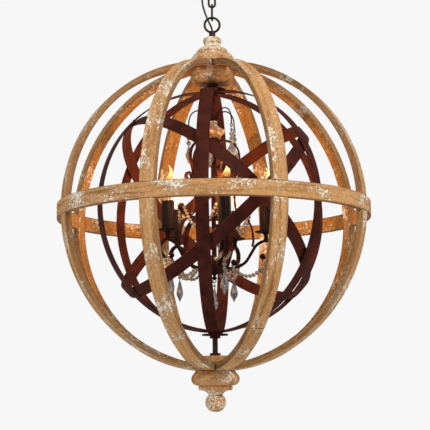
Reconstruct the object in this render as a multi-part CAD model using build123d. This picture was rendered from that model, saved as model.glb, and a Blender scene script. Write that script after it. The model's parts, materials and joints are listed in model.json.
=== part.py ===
"""Orb chandelier: a weathered wooden globe, an iron strap orb inside it, and a
five-light candelabra hung with crystal, on a short chain below a ceiling canopy.

Millimetres, +Z up, origin on the ceiling at the middle of the canopy. Azimuth 0
faces the front (-Y) and grows towards +X. Heights inside the globe are measured
from the globe's centre, and hang() moves them to their place below the ceiling.
"""

from build123d import *
import math
import os

os.makedirs("parts", exist_ok=True)

# ---------------------------------------------------------------- dimensions
clearance = 0.3  # between pieces that move past each other
fit = 0.1  # between pieces that are fixed to each other
thread_fit = 0.05  # round a rod in its nut or socket

# Ceiling fitting
canopy_r = 62.0
canopy_depth = 26.0
canopy_wall = 1.6
canopy_nose_r = 15.0
bar_length = 104.0
bar_width = 22.0
bar_thickness = 3.0
box_screw_spacing = 88.9
box_screw_hole_r = 2.5
stud_r = 4.8
stud_nut_height = 6.0
stud_nut_across = 15.0
loop_od = 32.0
loop_wire = 5.0
loop_boss_r = 8.0
loop_boss_height = 5.0

# Chain
link_count = 3
link_length = 38.0
link_width = 18.0
link_wire = 4.6

# Ring on top of the globe
ring_od = 37.0
ring_wire = 5.0
collar_r = 6.8
collar_height = 15.0
collar_socket = 7.0

# Supply cord
cord_d = 4.0
cord_bore_r = 2.6

# Wooden globe
globe_r = 325.0
rib_width = 32.0
rib_thickness = 13.0
rib_edge = 1.6
rib_pairs = 4
rib_azimuth = 22.5
rib_slit = 0.5
hoop_width = 32.0
hoop_raise = 3.0

# Turned wooden cap and finial, measured up and down from the globe's poles
cap_seat = 6.0
cap_disc_r = 46.0
cap_disc_rise = 20.0
cap_disc_edge = 14.0
cap_step_r = 33.0
cap_step_rise = 34.0
cap_neck_r = 16.5
cap_neck_rise = 39.0
cap_bead_r = 19.5
cap_rise = 55.0
finial_disc_r = 49.5
finial_disc_drop = 26.5
finial_step_r = 35.0
finial_step_drop = 37.5
finial_neck_r = 14.0
finial_neck_drop = 47.0
finial_ball_r = 21.0
finial_ball_drop = 64.0
finial_drop = 81.0

# Turned hub discs inside the poles
upper_disc_r = 46.5
upper_disc_face_r = 36.0
upper_disc_bulge = 17.0
lower_disc_r = 34.0
lower_disc_height = 19.0

# Rods, nuts and clamp plates
rod_r = 5.25
rod_bore_r = 2.6
lower_rod_r = 5.5
nut_across = 19.0
nut_height = 6.0
plate_r = 27.0
plate_thickness = 3.0
plate_gap = 5.9  # from the orb's upper plate to the nut above it

# Iron strap orb
orb_gap = 56.0  # from the inside of the globe to the orb
orb_raise = 8.0
strap_width = 26.0
strap_thickness = 2.2
strap_gap = 0.2
meridian_azimuths = (-5.0, 54.5, -66.0)
tilt_azimuth = 22.5
tilt_angle = 45.0
rivet_r = 2.0
rivet_head_r = 3.2
rivet_head = 1.2

# Candelabra
lights = 5
arm_azimuth = 11.5
light_r = 108.0
hub_r = 19.0
hub_top = -104.0
hub_bottom = -124.0
hub_knob_bottom = -137.0
arm_width = 9.0
arm_thickness = 5.5
arm_z = -113.0
arm_bend_r = 44.0
volute_crest = -58.0
volute_r = 18.0
volute_ball_r = 6.0
spider_r = 10.5
spider_height = 9.0
brace_width = 13.0
brace_thickness = 4.0
brace_drop = 60.8
brace_end = 28.5  # from the light's middle in to the foot of its brace
scroll_width = 10.0
scroll_thickness = 4.0
scroll_z = 156.0
scroll_low = -4.0
scroll_ball_r = 7.5
scroll_ball_gap = 10.5  # from the ball to its candle sleeve
scroll_ball_z = 12.0
scroll_belly_r = 56.0
scroll_waist_r = 43.0
scroll_waist_z = 50.0
leaf_width = 11.0
leaf_thickness = 3.8
leaf_rise = 36.0
leaf_reach = 19.0
leaf_ball_r = 6.0
cup_neck_r = 5.5
cup_rim_r = 9.5
pan_r = 23.0
pan_z = -41.0
pan_thickness = 1.6
pan_rise = 1.6
sleeve_r = 13.0
sleeve_wall = 1.8
sleeve_top = 21.0
socket_r = 10.0
socket_drop = 5.0
bulb_cap_r = 7.0
bulb_cap_length = 24.0
bulb_r = 16.5
bulb_height = 76.0
bulb_bend = 7.0
bulb_rings = (  # height, radius and sideways bend, as shares of the three sizes above
    (0, 0.40, 0),
    (0.12, 0.76, 0),
    (0.29, 1.0, 0),
    (0.46, 0.84, 0.10),
    (0.60, 0.56, 0.50),
    (0.74, 0.31, 0.95),
    (0.86, 0.17, 1.0),
    (0.95, 0.09, 0.62),
    (1.0, 0.045, 0.15),
)
crown_r = 25.5
crown_neck_r = 9.0
crown_top = 198.0
crown_wide_z = 175.0
crown_bottom = 162.0
crown_foot_r = 11.0
hook_wire = 2.8
hook_collar_r = 9.0
hook_collar_height = 5.0
hook_r = 52.0
hook_peak = 222.0
hook_end = 181.0

# Crystal
bead_r = 3.6
bead_gap = 0.2
pin_r = 0.7
eye_r = 2.6
eye_wire = 1.0
carrier_r = 3.2
carrier_wire_r = 1.0
carrier_drop = 2.2
upper_drop_beads = (3.4, 5.2, 5.4)
upper_drop_width = 28.0
upper_drop_length = 39.0
lower_drop_beads = (3.0, 4.3, 4.0)
lower_drop_width = 18.0
lower_drop_length = 48.0
centre_drop_beads = (3.0,)
centre_drop_width = 16.0
centre_drop_length = 54.0
cage_drop_width = 13.0
cage_drop_length = 52.0
cage_drop_r = 17.0
column_drop_length = 38.0
column_drop_r = 24.0
upper_swag_sag = 46.0
lower_swag_sag = 26.0
lower_swag_start = 40.0
lower_swag_past = 5.0
front_swag_sag = 4.0
front_swag_start = 50.0
front_swag_z = -98.0

# ------------------------------------------------------- places that follow
globe_inner_r = globe_r - rib_thickness
lap_r = globe_r - rib_thickness / 2
cap_disc_top = globe_r + cap_disc_rise
cap_step_top = globe_r + cap_step_rise
cap_neck_top = globe_r + cap_neck_rise
cap_top = globe_r + cap_rise
finial_disc_bottom = -globe_r - finial_disc_drop
finial_step_bottom = -globe_r - finial_step_drop
finial_neck_z = -globe_r - finial_neck_drop
finial_ball_z = -globe_r - finial_ball_drop
finial_bottom = -globe_r - finial_drop
lower_disc_top = -globe_inner_r + lower_disc_height
orb_r = globe_inner_r - orb_gap
strap_step = strap_thickness + strap_gap
loop_z = -canopy_depth - loop_boss_height - (loop_od - loop_wire) / 2
loop_bar_z = loop_z - (loop_od - loop_wire) / 2
link_pitch = link_length - 2 * link_wire - clearance
first_bar_z = loop_bar_z + loop_wire / 2 + clearance + link_wire / 2
link_mid_z = [
    first_bar_z - (link_length - link_wire) / 2 - n * link_pitch
    for n in range(link_count)
]
last_bar_z = link_mid_z[-1] - (link_length - link_wire) / 2
ring_bar_z = last_bar_z + link_wire / 2 + clearance + ring_wire / 2
ring_z = ring_bar_z - (ring_od - ring_wire) / 2
collar_top_z = ring_z - ring_od / 2 + ring_wire
centre_z = collar_top_z - collar_height - cap_top
ring_local = ring_z - centre_z
boss_local = -canopy_depth - loop_boss_height - loop_wire / 2 - centre_z
rod_top = cap_top + collar_socket
orb_top = orb_raise + orb_r
orb_bottom = orb_raise - orb_r
upper_disc_bottom = orb_top + fit + plate_thickness + plate_gap + nut_height
orb_inner_r = orb_r - (len(meridian_azimuths) - 1) * strap_step - strap_thickness
nut_seat = math.sqrt(orb_inner_r**2 - nut_across**2 / 3) - fit
light_azimuths = [arm_azimuth + 360 / lights * n for n in range(lights)]
hook_azimuths = [a + 180 / lights for a in light_azimuths]
scroll_ball_at = (light_r - sleeve_r - scroll_ball_gap - scroll_ball_r, scroll_ball_z)
volute_ball_at = (light_r - 8, volute_crest - 32)
carrier_reach = carrier_drop + carrier_r
upper_pivot_z = hook_end + carrier_drop - carrier_r
lower_pivot_z = volute_ball_at[1] - volute_ball_r - carrier_reach
centre_pivot_z = hub_knob_bottom - carrier_reach


# ------------------------------------------------------------------ helpers
def hang(shape):
    """Moves a shape from the globe's own height down below the ceiling."""
    return Pos(0, 0, centre_z) * shape


def turn_to(azimuth, shape):
    """Turns a shape made at the front round to an azimuth."""
    return Rot(0, 0, azimuth) * shape


def in_front(r, z, side=0.0):
    """A point at radius r and height z on the front half plane, with side towards +X."""
    return (side, -r, z)


def save(name, *pieces):
    """Writes the pieces as one node, each a separate solid."""
    solids = [s for piece in pieces for s in piece.solids()]
    shape = solids[0] if len(solids) == 1 else Compound(solids)
    shape.label = name
    export_step(shape, f"parts/{name}.step")


def turned(*outline):
    """Spins an outline of (radius, height, bulge) points round Z; a bulge is the arc's rise."""
    points = [(p[0], 0, p[1]) for p in outline]
    bulges = [p[2] if len(p) > 2 else 0 for p in outline]
    edges = []
    for i, start in enumerate(points):
        end = points[(i + 1) % len(points)]
        bulge = bulges[(i + 1) % len(points)]
        if bulge:
            run = Vector(*end) - Vector(*start)
            middle = (Vector(*end) + Vector(*start)) / 2
            side = Vector(run.Z, 0, -run.X).normalized() * bulge
            edges.append(ThreePointArc(start, middle + side, end))
        else:
            edges.append(Line(start, end))
    return revolve(make_face(edges), axis=Axis.Z)


def tube(r, low, high):
    """An upright cylinder between two heights."""
    return Pos(0, 0, low) * Cylinder(r, high - low, align=(Align.CENTER, Align.CENTER, Align.MIN))


def hex_nut(across, low, height, bore_r):
    """A hexagon nut on the Z axis."""
    blank = extrude(RegularPolygon(across / 2, 6, major_radius=False), height)
    return Pos(0, 0, low) * blank - tube(bore_r, low - 1, low + height + 1)


def corner_radii(points, share=0.45):
    """The largest arc that each corner of a route allows, from its shorter run."""
    places = [Vector(*p) for p in points]
    radii = []
    for a, b, c in zip(places, places[1:], places[2:]):
        turn = math.radians((b - a).get_angle(c - b))
        radii.append(share * min((b - a).length, (c - b).length) / math.tan(turn / 2))
    return radii


def bar(section, points, share=0.45):
    """Carries a flat section along a route in the front half plane."""
    path = FilletPolyline(*points, radius=corner_radii(points, share))
    start = Plane(origin=path @ 0, x_dir=(1, 0, 0), z_dir=path % 0)
    return sweep(start * section, path=path)


def wire(points, r, share=0.45):
    """Carries a round section along a route."""
    path = FilletPolyline(*points, radius=corner_radii(points, share))
    return sweep(Plane(origin=path @ 0, z_dir=path % 0) * Circle(r), path=path)


def torus(major, minor, axis):
    """A plain ring of wire, its hole facing along X, Y or Z."""
    lie = {"x": Rot(0, 90, 0), "y": Rot(90, 0, 0), "z": Rot(0, 0, 0)}[axis]
    return lie * Torus(major, minor)


def faceted(levels, sides=8):
    """A cut stone: flat facets between rings of (width, depth, height)."""
    rings = []
    for width, depth, height in levels:
        corners = [
            (
                width / 2 * math.cos(2 * math.pi * (k + 0.5) / sides),
                depth / 2 * math.sin(2 * math.pi * (k + 0.5) / sides),
            )
            for k in range(sides)
        ]
        rings.append(Pos(0, 0, height) * Polygon(*corners, align=None))
    return loft(rings, ruled=True)


def crystal_drop(width, length, top, waist=0.55, depth=0.5):
    """A pear or kite drop that hangs below top, widest at waist of its length."""
    return faceted(
        [
            (2.4, 2.4, top),
            (0.52 * width, 0.52 * width * depth, top - 0.25 * length),
            (width, width * depth, top - waist * length),
            (0.72 * width, 0.72 * width * depth, top - 0.78 * length),
            (1.6, 1.6, top - length),
        ]
    )


def carrier_eye():
    """The fixed eye that a pendant hangs on, the middle of its lowest wire at the origin."""
    return Pos(0, 0, carrier_r) * torus(carrier_r, carrier_wire_r, "y")


def pendant(bead_radii, width, length, waist):
    """Beads and a drop on one pin, with an eye that turns on the wire at the origin."""
    middle = carrier_wire_r + clearance + eye_wire / 2 - eye_r
    top = middle - eye_r - eye_wire / 4
    low = top - sum(2 * r + fit for r in bead_radii)
    outline = [(0, top), (0, low - 0.3 * length), (pin_r, low - 0.3 * length)]
    for r in reversed(bead_radii):
        low += fit
        half = math.sqrt(r**2 - pin_r**2)
        outline.append((pin_r, low + r - half))
        outline.append((pin_r, low + r + half, r - pin_r))
        low += 2 * r
    outline.append((pin_r, top))
    crystal_top = top - sum(2 * r + fit for r in bead_radii)
    piece = turned(*outline) + crystal_drop(width, length, crystal_top, waist)
    return piece + Pos(0, 0, middle) * torus(eye_r, eye_wire / 2, "x")


def bead_strand(start, end, sag):
    """Separate beads, evenly spaced along a parabola that hangs between two points."""
    a, b = Vector(*start), Vector(*end)
    steps = 400
    line = []
    for n in range(steps + 1):
        t = n / steps
        line.append(a + (b - a) * t - Vector(0, 0, 4 * sag * t * (1 - t)))
    run = [0.0]
    for p, q in zip(line, line[1:]):
        run.append(run[-1] + (q - p).length)
    count = int(run[-1] / (2 * bead_r + bead_gap))
    beads = []
    for n in range(count + 1):
        mark = run[-1] * n / count
        nearest = min(range(steps + 1), key=lambda k: abs(run[k] - mark))
        beads.append(Pos(*line[nearest]) * Sphere(bead_r))
    return beads


def chain_link(mid_z, faces):
    """A stadium of round wire. faces is the way that its hole faces, x or y."""
    half = (link_length - link_width) / 2
    arc_r = (link_width - link_wire) / 2
    straight = half
    side = (0, 1, 0) if faces == "x" else (1, 0, 0)
    u = Vector(*side)
    up = Vector(0, 0, 1)
    low_left, low_right = u * -arc_r - up * straight, u * arc_r - up * straight
    high_left, high_right = u * -arc_r + up * straight, u * arc_r + up * straight
    path = Wire(
        [
            Line(low_right, high_right),
            ThreePointArc(high_right, up * (straight + arc_r), high_left),
            Line(high_left, low_left),
            ThreePointArc(low_left, up * -(straight + arc_r), low_right),
        ]
    )
    section = Plane(origin=low_right, z_dir=(0, 0, 1)) * Circle(link_wire / 2)
    return Pos(0, 0, mid_z) * sweep(section, path=path)


def strap_ring(outer_r, axis):
    """An iron hoop round X or Z, its faces domed so that crossing straps lie on each other."""
    inner_r = outer_r - strap_thickness
    half = strap_width / 2

    def at(along, r):
        return (along, 0, r) if axis == "x" else (r, 0, along)

    out = math.sqrt(outer_r**2 - half**2)
    inn = math.sqrt(inner_r**2 - half**2)
    section = make_face(
        [
            ThreePointArc(at(-half, out), at(0, outer_r), at(half, out)),
            Line(at(half, out), at(half, inn)),
            ThreePointArc(at(half, inn), at(0, inner_r), at(-half, inn)),
            Line(at(-half, inn), at(-half, out)),
        ]
    )
    return revolve(section, axis=Axis.X if axis == "x" else Axis.Z)


# ----------------------------------------------------------- ceiling fitting
def ceiling_canopy():
    """A spun dish, open to the ceiling, with a hole for the loop's stud."""
    outer = turned(
        (0, 0),
        (canopy_r, 0),
        (canopy_r, -3),
        (canopy_nose_r, -canopy_depth, -7),
        (0, -canopy_depth),
    )
    inner = turned(
        (0, 1),
        (canopy_r - canopy_wall, 1),
        (canopy_r - canopy_wall, -3 + canopy_wall / 2),
        (canopy_nose_r - canopy_wall, -canopy_depth + canopy_wall, -7),
        (0, -canopy_depth + canopy_wall),
    )
    return outer - inner - tube(stud_r + fit, -canopy_depth - 1, 1)


def mounting_bar():
    """The flat bar that is screwed to the ceiling box."""
    blank = Box(bar_length, bar_width, bar_thickness)
    blank = Pos(0, 0, -bar_thickness / 2) * blank
    blank -= tube(stud_r + thread_fit, -bar_thickness - 1, 1)
    for x in (-box_screw_spacing / 2, box_screw_spacing / 2):
        blank -= Pos(x, 0, 0) * tube(box_screw_hole_r, -bar_thickness - 1, 1)
    return blank


def canopy_loop():
    """The ring, boss and hollow stud that hold the canopy up and carry the chain."""
    ring = Pos(0, 0, loop_z) * torus((loop_od - loop_wire) / 2, loop_wire / 2, "y")
    boss_low = -canopy_depth - loop_boss_height - loop_wire / 2
    boss = tube(loop_boss_r, boss_low, -canopy_depth)
    stud = tube(stud_r, -canopy_depth, -fit)
    return ring + boss + stud - tube(cord_bore_r, boss_low - loop_wire, 1)


def stud_nut():
    """The nut under the mounting bar that locks the stud."""
    low = -bar_thickness - stud_nut_height
    return hex_nut(stud_nut_across, low, stud_nut_height, stud_r + thread_fit)


# --------------------------------------------------------- suspension on top
def top_loop():
    """The cast ring and its collar, screwed on top of the long rod."""
    ring = Pos(0, 0, ring_local) * torus((ring_od - ring_wire) / 2, ring_wire / 2, "y")
    collar_top = cap_top + collar_height
    collar = turned(
        (0, cap_top),
        (collar_r, cap_top),
        (collar_r, collar_top - 4),
        (collar_r - 2, collar_top, 0.8),
        (0, collar_top),
    )
    body = ring + collar
    body -= tube(cord_bore_r, cap_top, collar_top + ring_wire)
    return body - tube(rod_r + thread_fit, cap_top - 1, rod_top)


def cord_route():
    """The cord's route in the globe's own heights, from the canopy loop to the ring's collar.

    The points are chosen by eye: out of the loop's bore, forward past its wire, loosely down
    the left of the chain, and in over the front of the ring to the collar.
    """
    top = ring_local
    high = boss_local
    return [
        (0, 0, high + 9),
        (-0.1, -0.3, high - 4),
        (-6.5, -6, high - 12),
        (-12.5, -10, high - 24),
        (-18, -9.5, high - 40),
        (-20.5, -6.5, top + 62),
        (-20.5, -4, top + 45),
        (-15.5, -6, top + 27),
        (-11, -9.8, top + 13),
        (-5.5, -6.8, top + 1.5),
        (-0.4, -1, top - 6.5),
        (0, 0, top - 15.5),
    ]


def supply_cord():
    """The twin-core cord as a plain tube along its route."""
    points = cord_route()
    radii = corner_radii(points)
    path = FilletPolyline(*points, radius=radii)
    section = Plane(origin=path @ 0, z_dir=path % 0) * Circle(cord_d / 2)
    body = sweep(section, path=path)
    print("cord bend radii:", [round(r, 1) for r in radii])
    ideal = math.pi * (cord_d / 2) ** 2 * path.length
    print("cord length:", round(path.length, 1), "volume over ideal:", round(body.volume / ideal, 4))
    return body


# -------------------------------------------------------------- wooden globe
def globe_rib(azimuth):
    """A half hoop from pole to pole, mitred to a point at each and lapped with the hoop."""
    section = Plane.XZ * Pos(0, lap_r) * RectangleRounded(rib_width, rib_thickness, rib_edge)
    ring = revolve(section, axis=Axis.X)
    reach = 1.1 * globe_r
    half = math.radians(180 / (2 * rib_pairs))
    apex = rib_slit / math.sin(half)
    wedge = Polygon(
        (0, -apex),
        (reach * math.tan(half), -reach - apex),
        (-reach * math.tan(half), -reach - apex),
        align=None,
    )
    rib = ring & extrude(wedge, reach, both=True)
    rib -= tube(rod_r + clearance, 0, globe_r + 1)
    rib -= tube(lower_rod_r + clearance, -globe_r - 1, 0)
    low, high = hoop_raise - hoop_width / 2 - fit, hoop_raise + hoop_width / 2 + fit
    notch = tube(globe_r + 2, low, high) - tube(lap_r, low - 1, high + 1)
    return turn_to(azimuth, rib - notch)


def equator_hoop():
    """The level hoop, its inner half cut away where each rib crosses."""
    section = Plane.XZ * Pos(lap_r, hoop_raise) * RectangleRounded(rib_thickness, hoop_width, rib_edge)
    hoop = revolve(section, axis=Axis.Z)
    low, high = hoop_raise - hoop_width, hoop_raise + hoop_width
    for n in range(2 * rib_pairs):
        slot = Pos(0, -globe_r + rib_thickness, 0) * Box(
            rib_width + 2 * fit, 3 * rib_thickness, 2 * hoop_width, align=(Align.CENTER, Align.CENTER, Align.CENTER)
        )
        slot = Pos(0, 0, hoop_raise) * slot & tube(lap_r + fit, low, high)
        hoop -= turn_to(rib_azimuth + 180 / rib_pairs * n, slot)
    return hoop


def top_cap():
    """The turned cap on the upper pole, hollowed below to sit on the ribs."""
    cap = turned(
        (0, globe_r - cap_seat),
        (cap_disc_r, globe_r - cap_seat),
        (cap_disc_r, cap_disc_top - cap_disc_edge),
        (cap_step_r + 3, cap_disc_top - 1, 1.8),
        (cap_step_r - 1, cap_disc_top),
        (cap_step_r, cap_disc_top + 1.5, 0.4),
        (cap_step_r, cap_disc_top + 4),
        (cap_neck_r + 2, cap_step_top, 2.2),
        (cap_neck_r, cap_neck_top, -1.2),
        (cap_neck_r, cap_neck_top + 2),
        (cap_bead_r - 5, cap_top, 4),
        (0, cap_top),
    )
    return cap - Sphere(globe_r + 2 * fit + 0.4) - tube(rod_r + fit, 0, cap_top + 1)


def upper_hub_disc():
    """The bun-shaped disc under the upper pole."""
    disc = turned(
        (0, upper_disc_bottom),
        (upper_disc_face_r, upper_disc_bottom),
        (upper_disc_r, upper_disc_bottom + upper_disc_bulge, 4),
        (upper_disc_r - 5, globe_inner_r, 2.5),
        (0, globe_inner_r),
    )
    return (disc & Sphere(globe_inner_r - fit)) - tube(rod_r + fit, 0, globe_inner_r + 1)


def lower_hub_disc():
    """The flat turned disc on the inside of the lower pole."""
    disc = turned(
        (0, lower_disc_top),
        (0, -globe_inner_r),
        (lower_disc_r - 3, -globe_inner_r),
        (lower_disc_r, lower_disc_top - 4),
        (lower_disc_r - 4, lower_disc_top, 1.6),
    )
    return (disc & Sphere(globe_inner_r - fit)) - tube(lower_rod_r + fit, -globe_inner_r - 1, 0)


def bottom_finial():
    """The turned finial under the lower pole, with a blind hole for the lower rod."""
    disc_top = -globe_r + cap_seat
    body = turned(
        (0, disc_top),
        (0, finial_bottom),
        (finial_ball_r, finial_ball_z, 5.6),
        (finial_neck_r, finial_neck_z, 2.6),
        (finial_step_r - 6, finial_step_bottom, -2.4),
        (finial_step_r - 2, finial_step_bottom),
        (finial_step_r - 1, finial_disc_bottom - 2, 1.5),
        (finial_disc_r - 7, finial_disc_bottom),
        (finial_disc_r - 5, -globe_r - 4, 6),
        (finial_disc_r - 12, disc_top),
    )
    body -= Sphere(globe_r + 2 * fit + 0.4)
    return body - tube(lower_rod_r + thread_fit, lower_rod_bottom() - fit, 0)


def lower_rod_bottom():
    """The lower rod ends in the finial, halfway down its second step."""
    return (finial_disc_bottom + finial_step_bottom) / 2


# ------------------------------------------------------ rods and their clamps
def centre_rod():
    """The hollow rod that carries everything, from the ring's collar to the hub."""
    return tube(rod_r, hub_bottom + 6, rod_top) - tube(rod_bore_r, hub_bottom, rod_top + 1)


def lower_rod():
    """The rod that ties the strap orb to the foot of the globe."""
    return tube(lower_rod_r, lower_rod_bottom(), orb_raise - nut_seat + nut_height + 4)


def orb_clamps():
    """The plates and nuts that clamp the discs and the strap orb on their rods."""
    bore, low_bore = rod_r + thread_fit, lower_rod_r + thread_fit
    plate_low = orb_top + fit
    foot_top = orb_bottom - fit
    inner_top = orb_raise + nut_seat
    inner_foot = orb_raise - nut_seat
    plate = tube(plate_r, plate_low, plate_low + plate_thickness) - tube(bore, 0, globe_r)
    foot = tube(plate_r, foot_top - plate_thickness, foot_top) - tube(low_bore, -globe_r, 0)
    return [
        plate,
        foot,
        hex_nut(nut_across, upper_disc_bottom - nut_height, nut_height, bore),
        hex_nut(nut_across, inner_top - nut_height, nut_height, bore),
        hex_nut(nut_across, inner_foot, nut_height, low_bore),
        hex_nut(nut_across, foot_top - plate_thickness - nut_height, nut_height, low_bore),
        hex_nut(nut_across, lower_disc_top, nut_height, low_bore),
    ]


# ------------------------------------------------------------ iron strap orb
def strap_frames():
    """Each strap's outer radius, its hoop axis and the turn that sets it in place."""
    frames = []
    for n, azimuth in enumerate(meridian_azimuths):
        frames.append((orb_r - n * strap_step, "x", Rot(0, 0, azimuth)))
    for n, tilt in enumerate((-tilt_angle, tilt_angle)):
        outer = orb_r - (len(meridian_azimuths) + n) * strap_step
        frames.append((outer, "z", Rot(0, 0, tilt_azimuth) * Rot(0, tilt, 0)))
    return frames


def strap_normal(frame):
    """The direction that a placed strap's axis points in."""
    start = Vector(1, 0, 0) if frame[1] == "x" else Vector(0, 0, 1)
    return (frame[2] * Pos(*start)).position


def crossings(frames):
    """(outer strap, inner strap, direction) where a tilted strap crosses another."""
    found = []
    for inner in range(len(meridian_azimuths), len(frames)):
        for outer in range(inner):
            across = strap_normal(frames[outer]).cross(strap_normal(frames[inner])).normalized()
            found.append((outer, inner, across))
            found.append((outer, inner, across * -1))
    return found


def strap_orb():
    """The five straps, drilled for the rods and rivets, and the rivets."""
    frames = strap_frames()
    straps = [frame[2] * strap_ring(frame[0], frame[1]) for frame in frames]
    rivets = []
    for outer, inner, way in crossings(frames):
        hole = Plane(origin=way * (orb_r / 2), z_dir=way) * extrude(Circle(rivet_r + thread_fit), orb_r)
        straps[outer] -= hole
        straps[inner] -= hole
        inside = frames[inner][0] - strap_thickness - thread_fit
        outside = frames[outer][0] + thread_fit
        stem = Plane(origin=way * inside, z_dir=way) * extrude(Circle(rivet_r), outside - inside)
        for place, out in ((inside, -1), (outside, 1)):
            face = Plane(origin=way * place, z_dir=way * out)
            head = face * loft([Circle(rivet_head_r), Pos(0, 0, rivet_head) * Circle(rivet_head_r * 0.6)])
            stem += head
        rivets.append(stem)
    for n in range(len(meridian_azimuths)):
        straps[n] -= tube(rod_r + fit, 0, globe_r)
        straps[n] -= tube(lower_rod_r + fit, -globe_r, 0)
    lift = Pos(0, 0, orb_raise)
    return [lift * s for s in straps], [lift * r for r in rivets]


# --------------------------------------------------------------- candelabra
def crown_cap():
    """The turned wooden crown on the rod, over the scrolls."""
    body = turned(
        (0, crown_bottom),
        (crown_foot_r, crown_bottom),
        (crown_r, crown_wide_z),
        (crown_r - 1, crown_wide_z + 4, 1.2),
        (crown_neck_r + 2, crown_top - 10, -1),
        (crown_neck_r, crown_top - 8),
        (crown_neck_r, crown_top),
        (0, crown_top),
    )
    return body - tube(rod_r + fit, 0, crown_top + 1)


def pendant_hooks():
    """Five wire hooks round a collar on top of the crown."""
    low = crown_top + fit
    collar = tube(hook_collar_r, low, low + hook_collar_height) - tube(rod_r + fit, 0, globe_r)
    start = hook_collar_r - 2
    route = [
        in_front(start, low + hook_collar_height - 1),
        in_front(start + 3, hook_peak - 11),
        in_front(start + 10, hook_peak - 3),
        in_front(hook_r * 0.6, hook_peak + 2),
        in_front(hook_r - 8, hook_peak - 3),
        in_front(hook_r - 1, hook_peak - 16),
        in_front(hook_r, hook_end + 5),
    ]
    arm = wire(route, hook_wire / 2)
    arm += Pos(*in_front(hook_r, upper_pivot_z)) * carrier_eye()
    for azimuth in hook_azimuths:
        collar += turn_to(azimuth, arm)
    return collar


def arm_hub():
    """The turned hub at the foot of the rod, with a knob below it."""
    body = turned(
        (0, hub_top),
        (0, hub_knob_bottom),
        (3.5, hub_knob_bottom + 1.5, 0.8),
        (2.5, hub_bottom - 6, 2.4),
        (hub_r - 5, hub_bottom, -3),
        (hub_r, hub_bottom + 4, 1),
        (hub_r, hub_top - 4),
        (hub_r - 6, hub_top, 1.5),
    )
    body += Pos(0, 0, centre_pivot_z) * carrier_eye()
    return body - tube(rod_r + thread_fit, hub_bottom + 6, hub_top + 1)


def candle_arm(azimuth):
    """An S-shaped bar from the hub to a volute under its candle, with a ball end."""
    out = light_r
    route = [
        in_front(hub_r + fit, arm_z),
        in_front(arm_bend_r, arm_z),
        in_front(out - 43, arm_z + 10),
        in_front(out - 31, arm_z + 30),
        in_front(out - 21, volute_crest - 8),
        in_front(out - 6, volute_crest),
        in_front(out + 8, volute_crest),
        in_front(out + volute_r, volute_crest - 10),
        in_front(out + volute_r, volute_crest - 26),
        in_front(out + 8, volute_crest - 36),
        in_front(out - 4, volute_crest - 35),
    ]
    arm = bar(RectangleRounded(arm_width, arm_thickness, 1.8), route)
    arm += Pos(*in_front(*volute_ball_at)) * Rot(90, 0, 0) * Sphere(volute_ball_r)
    arm += Pos(*in_front(volute_ball_at[0], lower_pivot_z)) * carrier_eye()
    return turn_to(azimuth, arm)


def brace_z():
    """The level of the braces, just under the foot of the scrolls."""
    return scroll_low - (scroll_thickness + brace_thickness) / 2 - fit


def spiders():
    """The two collars on the rod that the scrolls and the braces are welded to."""
    collars = []
    for middle in (scroll_z, brace_z()):
        collar = tube(spider_r, middle - spider_height / 2, middle + spider_height / 2)
        collars.append(collar - tube(rod_r + fit, 0, globe_r) - tube(rod_r + fit, -globe_r, 0))
    return collars


def scroll_set():
    """One light's upper scroll, its leaf curl and the brace under it."""
    level = brace_z()
    waist = scroll_waist_r
    scroll_route = [
        in_front(spider_r + fit, scroll_z),
        in_front(scroll_belly_r - 22, scroll_z),
        in_front(scroll_belly_r - 4, scroll_z - 16),
        in_front(scroll_belly_r, scroll_z - 38),
        in_front(waist + 4, scroll_waist_z + leaf_rise),
        in_front(waist, scroll_waist_z),
        in_front(waist + 1, scroll_low + 22),
        in_front(waist + 7, scroll_low),
        in_front(scroll_ball_at[0] - 11, scroll_low),
        in_front(scroll_ball_at[0], scroll_ball_at[1] - 8),
        in_front(scroll_ball_at[0] + 1, scroll_ball_at[1]),
    ]
    scroll = bar(RectangleRounded(scroll_width, scroll_thickness, 1.5), scroll_route)
    scroll += Pos(*in_front(*scroll_ball_at)) * Sphere(scroll_ball_r)
    leaf_in = waist + (scroll_thickness + leaf_thickness) / 2 + 5 * fit
    leaf_top = scroll_waist_z + leaf_rise
    leaf_route = [
        in_front(leaf_in, scroll_waist_z - 6),
        in_front(leaf_in + 1.4, scroll_waist_z + 14),
        in_front(leaf_in + 6, leaf_top - 4),
        in_front(leaf_in + leaf_reach - 4, leaf_top),
        in_front(leaf_in + leaf_reach, leaf_top - 11),
        in_front(leaf_in + leaf_reach - 6, leaf_top - 19),
    ]
    leaf = bar(RectangleRounded(leaf_width, leaf_thickness, 1.2), leaf_route)
    leaf += Pos(*in_front(leaf_in + leaf_reach - 7, leaf_top - 19)) * Sphere(leaf_ball_r)
    foot = light_r - brace_end
    brace_route = [
        in_front(spider_r + fit, level),
        in_front(foot - 18.5, level),
        in_front(foot - 6.5, level - 8),
        in_front(foot + 0.5, level - 26),
        in_front(foot + 2.5, level - brace_drop + 10.8),
        in_front(foot, level - brace_drop),
    ]
    brace = bar(RectangleRounded(brace_width, brace_thickness, 1.4), brace_route)
    return [scroll, leaf, brace]


def light_place(azimuth):
    """Where a light stands; the pieces on it keep their own front."""
    return Pos(*turn_to(azimuth, Pos(*in_front(light_r, 0))).position)


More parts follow.
